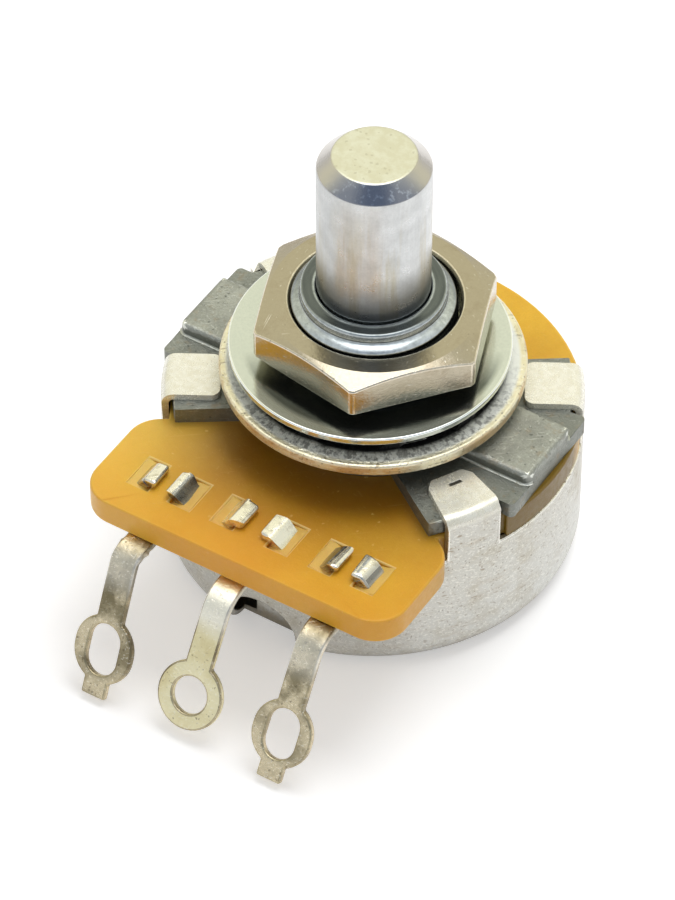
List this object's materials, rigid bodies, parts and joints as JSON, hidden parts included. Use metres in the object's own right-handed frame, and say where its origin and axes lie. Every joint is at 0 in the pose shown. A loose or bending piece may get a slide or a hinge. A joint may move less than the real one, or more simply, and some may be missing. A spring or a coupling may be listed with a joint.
{
  "type": "rotary potentiometer",
  "caption": "Panel-mounting rotary potentiometer with a solid shaft, a threaded bushing with nut and washers, a phenolic board and solder lugs.",
  "frame": {"origin": "on the shaft's axis at the can's underside", "axes": "+Z along the shaft towards its tip, -Y towards the solder lugs, X along the plate's raised bar"},
  "size_m": [0.0238, 0.0324, 0.0278],
  "materials": {
    "can_steel": "tinned, scratched satin",
    "phenolic": "waxy amber laminate",
    "carbon_film": "matt print",
    "silver_film": "matt print",
    "collector_brass": "satin",
    "lug_tin": "tarnished tin",
    "zinc_casting": "matt zinc casting",
    "shaft_metal": "turned satin",
    "spring_steel": "dark oiled",
    "carrier_plastic": "moulded matt",
    "wiper_bronze": "satin",
    "lock_washer_steel": "scratched, yellow passivated",
    "flat_washer_steel": "smooth zinc plate",
    "nut_nickel": "warm nickel plate"
  },
  "bodies": {
    "housing": {"cover_can": "can_steel", "phenolic_board": "phenolic", "resistive_track": "carbon_film", "silver_end_left": "silver_film", "silver_end_right": "silver_film", "collector_ring": "collector_brass", "terminal_left": "lug_tin", "terminal_centre": "lug_tin", "terminal_right": "lug_tin", "bushing_plate": "zinc_casting", "lock_washer": "lock_washer_steel", "flat_washer": "flat_washer_steel", "hex_nut": "nut_nickel"},
    "rotor": {"control_shaft": "shaft_metal", "retaining_ring": "spring_steel", "rotor_carrier": "carrier_plastic", "wiper_spring": "wiper_bronze"}
  },
  "joints": [
    {"name": "shaft_turn", "type": "hinge", "parent": "housing", "child": "rotor", "pos_m": [0, 0, 0.0144], "axis": [0, 0, 1], "range_deg": [-150, 150]}
  ]
}
